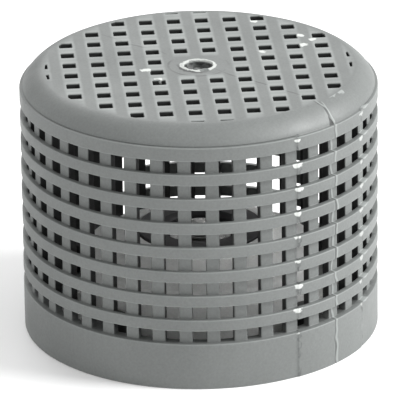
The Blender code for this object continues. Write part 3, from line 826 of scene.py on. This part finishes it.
def add_top(bm):
    """Replace the flat caps by the lattice: the top face, the ceiling inside and the holes' walls."""
    ceiling = BASKET_TOP - TOP_THICKNESS
    rims = []
    for height in (ceiling, BASKET_TOP):
        cap = max((face for face in bm.faces if abs(face.calc_center_median().z - height) < 0.01 * MM),
                  key=lambda face: len(face.verts))
        rims.append(list(cap.verts))
        bmesh.ops.delete(bm, geom=[cap], context="FACES_ONLY")
    soft = HOLE_ROUNDING
    levels = [
        (soft + 0.36 * MM, BASKET_TOP), (soft + 0.18 * MM, BASKET_TOP), (soft, BASKET_TOP),
        (0.62 * soft, BASKET_TOP - 0.08 * soft), (0.29 * soft, BASKET_TOP - 0.29 * soft),
        (0.08 * soft, BASKET_TOP - 0.62 * soft), (0.0, BASKET_TOP - soft), (0.0, ceiling + soft),
        (soft, ceiling),
    ]
    tops, bottoms = [], []
    for outline in lattice_outlines():
        loops = [[bm.verts.new((*point, height)) for point in grown(outline, out)] for out, height in levels]
        join_rings(bm, loops)
        tops.append(loops[0])
        bottoms.append(loops[-1])
    pierced_face(bm, rims[1], tops + [gate_rings(bm)])
    pierced_face(bm, rims[0], bottoms)


def smooth_step(value):
    value = min(1.0, max(0.0, value))
    return value * value * (3 - 2 * value)


def moulding_faults(place):
    """Where a point of the ideal basket ends up: a proud side core, a sunken seam, a slight waver."""
    radius, angle = math.hypot(place.x, place.y), math.atan2(place.y, place.x)
    lines_off = (angle - SEAM_ANGLE) / LINE_STEP
    seam = max(0.0, 1 - abs(lines_off + 0.5) / 1.5)
    ridge = max(0.0, 1 - abs(lines_off - 1.5) / 1.5)
    if place.z > RING_TOP + 0.05 * MM:
        if radius < TOP_FLAT_RADIUS - 0.1 * MM:
            return place
        wave = min(0.0, noise.noise(place * 60) * 0.05 * MM)
        sunk = (seam - 0.7 * ridge) * SEAM_DEPTH
        if seam + ridge > 0.02:
            angle += noise.noise(Vector((0.0, 0.0, place.z * 700))) * math.radians(0.8)
        return on_circle(radius + wave - sunk, angle, place.z + wave - sunk / 2)
    if radius < RECESS_RADIUS + 0.2 * MM:
        return place
    start, end = CORE_EDGES
    width = 2 * LINE_STEP / 3
    on_core = smooth_step((angle - start) / width + 0.5) * smooth_step((end - angle) / width + 0.5)
    wave = noise.noise(place * 90) * 0.04 * MM + noise.noise(place * 700) * 0.012 * MM
    move = min(0.0, wave + CORE_STAND * (on_core - 1) - seam * SEAM_DEPTH)
    return on_circle(radius + move, angle, place.z)


def strainer_basket():
    basket = as_object("basket_shell", wall_mesh())
    boolean(basket, boss_mesh(), "UNION")
    bevel(basket, EDGE_ROUNDING)
    bm = bmesh.new()
    bm.from_mesh(basket.data)
    add_top(bm)
    for vertex in bm.verts:
        vertex.co = moulding_faults(vertex.co)
    bpy.data.objects.remove(basket)
    basket = as_object("basket_shell", bm, math.radians(50))
    show(basket, "basket_plastic", "housing", "strainer_basket")


# ---------------- valve body and pipe connection

FLANGE_TOP = 2.8 * MM
SOCKET_OUTER = 20.9 * MM
RIBS = 4


def valve_body():
    """Flange, socket and neck in one moulding, with ribs round the socket and sunk screw holes."""
    outer, bottom, top = span("valve_body")
    socket_top, slope_top, neck = 13.5 * MM, 16.3 * MM, 12.9 * MM
    bore = span("threaded_insert")[0] + 0.3 * MM
    depth = span("threaded_insert")[2] + 0.3 * MM
    chamber, pocket, pocket_floor = 10.4 * MM, 11.4 * MM, 15.7 * MM
    profile = [
        (bore, bottom), (outer, bottom), (outer, FLANGE_TOP), (SOCKET_OUTER, FLANGE_TOP, 0.8 * MM),
        (SOCKET_OUTER, socket_top, 0.8 * MM), (neck, slope_top, 0.5 * MM), (neck, top), (pocket, top),
        (pocket, pocket_floor), (chamber, pocket_floor), (chamber, depth), (bore, depth),
    ]
    body = turned("valve_body_moulding", profile, 0.2 * MM)
    root, end = SOCKET_OUTER - 0.8 * MM, SOCKET_OUTER + 3.4 * MM
    low, high = FLANGE_TOP - 0.8 * MM, 6.0 * MM
    rib = [(root, low), (end, low), (end, 3.6 * MM), (end - 2.4 * MM, high), (root, high)]
    for i in range(RIBS):
        boolean(body, fin(rib, 0.55 * MM, FULL_TURN * i / RIBS), "UNION")
    hole = [
        (0.0, -FLANGE_TOP), (2.7 * MM, -FLANGE_TOP), (2.7 * MM, 2.0 * MM), (1.5 * MM, 2.0 * MM),
        (1.5 * MM, 2 * FLANGE_TOP), (0.0, 2 * FLANGE_TOP),
    ]
    boolean(body, lathe(hole, 40, screw_places()), "DIFFERENCE")
    bevel(body, 0.12 * MM, angle=math.radians(50))
    show(body, "body_plastic", "housing", "valve_body")


def flange_screw(number, angle):
    """Self-tapping screw with a pan head and a cross recess."""
    node = f"flange_screw_{number}"
    low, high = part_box(node)
    head, root, pitch = 2.4 * MM, 0.92 * MM, 1.0 * MM
    under_head = low.z + 1.4 * MM
    shank = [(root, z) for z in run(under_head, high.z - 1.2 * MM, pitch / 10)]
    profile = rounded([(0.0, low.z), (head, low.z, 0.9 * MM), (head, under_head, 0.1 * MM)], 0.0, 5)
    profile += shank + [(0.3 * MM, high.z), (0.0, high.z)]
    screw = as_object(f"{node}_threaded", lathe(profile, 32))
    reach, half = 1.4 * MM, 0.27 * MM
    outline = []
    for quarter in range(4):
        turn = Matrix.Rotation(quarter * math.pi / 2, 2)
        outline += [turn @ Vector(point) for point in ((reach, -half), (reach, half), (half, half))]
    boolean(screw, prism(outline, -head, low.z + 0.85 * MM), "DIFFERENCE")
    cut_thread(screw, root, under_head, high.z - 1.2 * MM, pitch, 0.27 * MM)
    screw.data.transform(Matrix.Translation(on_circle(SCREW_CIRCLE, angle)) @ Matrix.Rotation(angle, 4, "Z"))
    show(screw, "steel", "housing", node)


def threaded_insert():
    """Brass sleeve with the internal pipe thread and a lead-in cone."""
    outer, bottom, top = span("threaded_insert")
    major, mouth, pitch = 13.15 * MM, 13.4 * MM, 1.814 * MM
    start = bottom + 0.5 * MM
    profile = [(outer, top), (major, top)]
    profile += [(major, z) for z in reversed(run(start, top - 0.3 * MM, pitch / 14))]
    profile += [(mouth, bottom), (outer, bottom)]
    insert = as_object("threaded_insert_sleeve", lathe(profile, 144))
    cut_thread(insert, major, start, top - 0.3 * MM, pitch, -1.05 * MM)
    show(insert, "brass", "housing", "threaded_insert")


def ring_like(node, name, inner, slot, body, rounding):
    """A plain turned ring with the outer size of a CAD node."""
    outer, bottom, top = span(node)
    obj = turned(name, ring_profile(inner, outer, bottom, top), rounding)
    show(obj, slot, body, node)


# ---------------- guide, spring and poppet


def guide_spider():
    """Ring and hub joined by four bent arms."""
    outer, low, top = span("guide_spider")
    ring = ring_profile(outer - 1.8 * MM, outer, 8.95 * MM, top)
    spider = as_object("guide_spider_moulding", lathe(ring, 96))
    hub = ring_profile(2.8 * MM, 4.6 * MM, low, 6.5 * MM)
    boolean(spider, lathe(hub, 64), "UNION")
    arm = [
        (4.0 * MM, low + 0.15 * MM), (7.9 * MM, low + 0.15 * MM), (8.8 * MM, low + 1.05 * MM),
        (8.8 * MM, top - 0.15 * MM), (7.25 * MM, top - 0.15 * MM), (7.25 * MM, 6.9 * MM),
        (6.8 * MM, 6.4 * MM), (4.0 * MM, 6.4 * MM),
    ]
    for i in range(4):
        boolean(spider, fin(arm, 0.85 * MM, math.pi / 2 * (i + 0.5)), "UNION")
    bevel(spider, 0.12 * MM)
    show(spider, "white_acetal", "housing", "guide_spider")


def guide_bush():
    flange, bottom, top = span("guide_bush")
    profile = [
        (1.7 * MM, bottom), (flange, bottom), (flange, 4.8 * MM), (2.6 * MM, 4.8 * MM), (2.6 * MM, top),
        (1.7 * MM, top),
    ]
    bush = turned("guide_bush_turned", profile, 0.1 * MM, 64)
    show(bush, "black_acetal", "housing", "guide_bush")


def valve_spring():
    """Wire wound on a helix, its last turns lying flat at each end."""
    bottom, top = span("valve_spring")[1:]
    wire, mean, turns, closed = 0.3 * MM, 3.6 * MM, 4.0, 0.75
    low, high = bottom + wire, top - wire
    flat_rise = 2.05 * wire * closed
    steps, around = 160, 14

    def height(t):
        turned_so_far = t * turns
        if turned_so_far < closed:
            return low + flat_rise * turned_so_far / closed
        if turned_so_far > turns - closed:
            return high - flat_rise * (turns - turned_so_far) / closed
        middle = (turned_so_far - closed) / (turns - 2 * closed)
        return low + flat_rise + (high - low - 2 * flat_rise) * middle

    bm = bmesh.new()
    rings = []
    for step in range(steps + 1):
        t = step / steps
        angle = FULL_TURN * turns * t
        centre, outward = on_circle(mean, angle, height(t)), on_circle(1.0, angle)
        ring = []
        for corner in range(around):
            turn = FULL_TURN * corner / around
            offset = outward * math.cos(turn) + Vector((0, 0, 1)) * math.sin(turn)
            ring.append(bm.verts.new(centre + offset * wire))
        rings.append(ring)
    skin(bm, rings)
    spring = as_object("valve_spring_coil", bm)
    show(spring, "steel", "housing", "valve_spring")
    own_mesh(spring)


def poppet_disc():
    outer, bottom, top = span("poppet_disc")
    dish = 0.35 * MM
    profile = [
        (1.7 * MM, bottom), (4.5 * MM, bottom), (4.85 * MM, bottom + dish), (7.2 * MM, bottom + dish),
        (7.55 * MM, bottom), (outer, bottom), (outer, top, 0.25 * MM), (1.7 * MM, top),
    ]
    disc = turned("poppet_disc_moulding", profile, 0.12 * MM)
    show(disc, "black_acetal", "poppet", "poppet_disc")


def poppet_stem():
    """Turned stem with a collar under the disc and a fine thread for the nut."""
    collar, bottom, top = span("poppet_stem")
    shaft, root, pitch = 1.5 * MM, 1.25 * MM, 0.5 * MM
    thread_start = span("seal_plate")[1]
    profile = rounded([
        (0.0, bottom), (shaft, bottom, 0.4 * MM), (shaft, 11.9 * MM, 0.0), (collar, 11.9 * MM),
        (collar, 12.4 * MM), (shaft, 12.4 * MM, 0.0), (shaft, thread_start, 0.0),
    ], 0.08 * MM)
    profile += [(root, z) for z in run(thread_start + 0.1 * MM, top - 0.3 * MM, pitch / 8)]
    profile += [(root - 0.25 * MM, top), (0.0, top)]
    stem = as_object("poppet_stem_turned", lathe(profile, 48))
    cut_thread(stem, root, thread_start + 0.1 * MM, top - 0.3 * MM, pitch, 0.22 * MM)
    show(stem, "steel", "poppet", "poppet_stem")


def poppet_seal():
    """Rubber face with a moulded bead where it meets the seat."""
    outer, bottom, top = span("poppet_seal")
    bead, low = 7.0 * MM, top - 0.15 * MM
    profile = [
        (1.7 * MM, bottom), (outer, bottom, 0.25 * MM), (outer, low, 0.3 * MM), (bead + 0.45 * MM, low),
        (bead + 0.2 * MM, top), (bead - 0.2 * MM, top), (bead - 0.45 * MM, low), (1.7 * MM, low),
    ]
    seal = turned("poppet_seal_face", profile, 0.1 * MM)
    show(seal, "rubber", "poppet", "poppet_seal")


def lock_washer():
    """Split spring washer, its ends slightly apart in height."""
    outer, bottom, top = span("lock_washer")
    inner, gap, steps = 1.75 * MM, math.radians(9), 72
    thickness = 0.8 * (top - bottom)
    bm = bmesh.new()
    rings = []
    for step in range(steps + 1):
        t = step / steps
        angle = gap / 2 + (FULL_TURN - gap) * t
        foot = bottom + (top - bottom - thickness) * t
        corners = [(inner, foot), (outer, foot), (outer, foot + thickness), (inner, foot + thickness)]
        rings.append([bm.verts.new(on_circle(radius, angle, height)) for radius, height in corners])
    skin(bm, rings)
    washer = as_object("lock_washer_split", bm)
    bevel(washer, 0.05 * MM)
    show(washer, "steel", "poppet", "lock_washer")


def stem_nut():
    """Hexagon nut with turned chamfers on both faces."""
    corner, bottom, top = span("stem_nut")
    hexagon = [on_circle(corner, math.pi / 3 * i)[:2] for i in range(6)]
    nut = as_object("stem_nut_hexagon", prism(hexagon, bottom, top))
    flat, beyond, chamfer = 0.9 * corner, corner + 0.05 * MM, 0.25 * MM
    blank = [
        (0.0, bottom), (flat, bottom), (beyond, bottom + chamfer), (beyond, top - chamfer), (flat, top),
        (0.0, top),
    ]
    boolean(nut, lathe(blank, 96), "INTERSECT")
    inner, lead = 1.6 * MM, 0.2 * MM
    bore = [
        (0.0, bottom - lead), (inner + 2 * lead, bottom - lead), (inner, bottom + lead), (inner, top - lead),
        (inner + 2 * lead, top + lead), (0.0, top + lead),
    ]
    boolean(nut, lathe(bore, 64), "DIFFERENCE")
    bevel(nut, 0.04 * MM)
    show(nut, "steel", "poppet", "stem_nut")


def seat_ring():
    outer, bottom, top = span("seat_ring")
    bore, lip = 6.6 * MM, 7.4 * MM
    foot, step, step_height = 16.0 * MM, 9.8 * MM, 17.2 * MM
    profile = [
        (bore, bottom, 0.25 * MM), (lip, bottom, 0.25 * MM), (lip + 0.5 * MM, foot), (step, foot),
        (step, step_height), (outer, step_height), (outer, top, 0.3 * MM), (lip, top, 0.2 * MM),
        (bore, top - 0.8 * MM, 0.3 * MM),
    ]
    seat = turned("seat_ring_turned", profile, 0.1 * MM)
    show(seat, "black_acetal", "housing", "seat_ring")


def seat_o_ring():
    outer, bottom, top = span("seat_o_ring")
    section, middle = (top - bottom) / 2, (top + bottom) / 2
    mean = outer - section
    corners = 20
    turns = [FULL_TURN * corner / corners for corner in range(corners)]
    profile = [(mean + section * math.cos(turn), middle + section * math.sin(turn)) for turn in turns]
    ring = as_object("seat_o_ring_round", lathe(profile, 128))
    show(ring, "rubber", "housing", "seat_o_ring")


strainer_basket()
valve_body()
for number, angle in enumerate(SCREW_ANGLES, 1):
    flange_screw(number, angle)
threaded_insert()
ring_like("pipe_gasket", "pipe_gasket_rubber", 9.2 * MM, "rubber", "housing", 0.25 * MM)
guide_spider()
guide_bush()
ring_like("spring_washer", "spring_washer_flat", 1.9 * MM, "steel", "housing", 0.08 * MM)
valve_spring()
poppet_disc()
poppet_stem()
poppet_seal()
ring_like("seal_plate", "seal_plate_pressed", 1.7 * MM, "steel", "poppet", 0.15 * MM)
lock_washer()
stem_nut()
seat_ring()
seat_o_ring()


# ---------------- floor, light and camera

SKY = 0.9
KEY_POWER = 18.6
TOP_POWER = 3.0


def floor():
    bm = bmesh.new()
    half = 1.6
    corners = [(-half, -half), (half, -half), (half, half), (-half, half)]
    bm.faces.new([bm.verts.new((x, y, -0.02 * MM)) for x, y in corners])
    obj = as_object("floor", bm)
    nodes = Nodes("pale_floor")
    blotches = nodes.noise(6.0)
    colour = nodes.mix(nodes.between(blotches, 0.3, 0.7), (0.93, 0.93, 0.93), (0.96, 0.96, 0.96))
    obj.data.materials.append(nodes.finish(colour, nodes.between(blotches, 0.3, 0.7, 0.75, 0.85)))


def area_light(name, azimuth, elevation, reach, size, power):
    """Soft round lamp at a direction and distance from the valve, shining at it."""
    aim = Vector((0.0, 0.0, 20 * MM))
    lamp = bpy.data.lights.new(name, "AREA")
    lamp.shape = "DISK"
    lamp.size, lamp.energy = size, power
    obj = bpy.data.objects.new(name, lamp)
    azimuth, elevation = math.radians(azimuth), math.radians(elevation)
    obj.location = aim + on_circle(reach * math.cos(elevation), azimuth, reach * math.sin(elevation))
    obj.rotation_euler = (aim - obj.location).to_track_quat("-Z", "Y").to_euler()
    bpy.context.scene.collection.objects.link(obj)


def studio_light():
    world = bpy.data.worlds.new("studio")
    world.use_nodes = True
    background = world.node_tree.nodes["Background"]
    background.inputs["Color"].default_value = (1.0, 1.0, 1.0, 1.0)
    background.inputs["Strength"].default_value = SKY
    bpy.context.scene.world = world
    area_light("key", -12, 35, 1.2, 0.6, KEY_POWER)
    area_light("back_top", 100, 42, 1.2, 0.6, TOP_POWER)


def camera():
    """The lens, place and tilt that the object was seen with, from slightly left of the front."""
    azimuth = math.radians(-4.83)
    reach, height = 871.2 * MM, 380.0 * MM
    aim = Vector((0.0, 0.0, 22.5 * MM))
    data = bpy.data.cameras.new("camera")
    data.lens, data.sensor_width = 479.2, 36.0
    data.clip_start, data.clip_end = 0.01, 20.0
    obj = bpy.data.objects.new("camera", data)
    obj.location = (reach * math.sin(azimuth), -reach * math.cos(azimuth), height)
    look = (aim - obj.location).to_track_quat("-Z", "Y").to_matrix().to_4x4()
    roll = Matrix.Rotation(math.radians(-0.70), 4, "Z")
    obj.rotation_euler = (look @ roll).to_euler()
    bpy.context.scene.collection.objects.link(obj)
    bpy.context.scene.camera = obj


floor()
studio_light()
camera()
bpy.context.scene.view_settings.view_transform = "Standard"
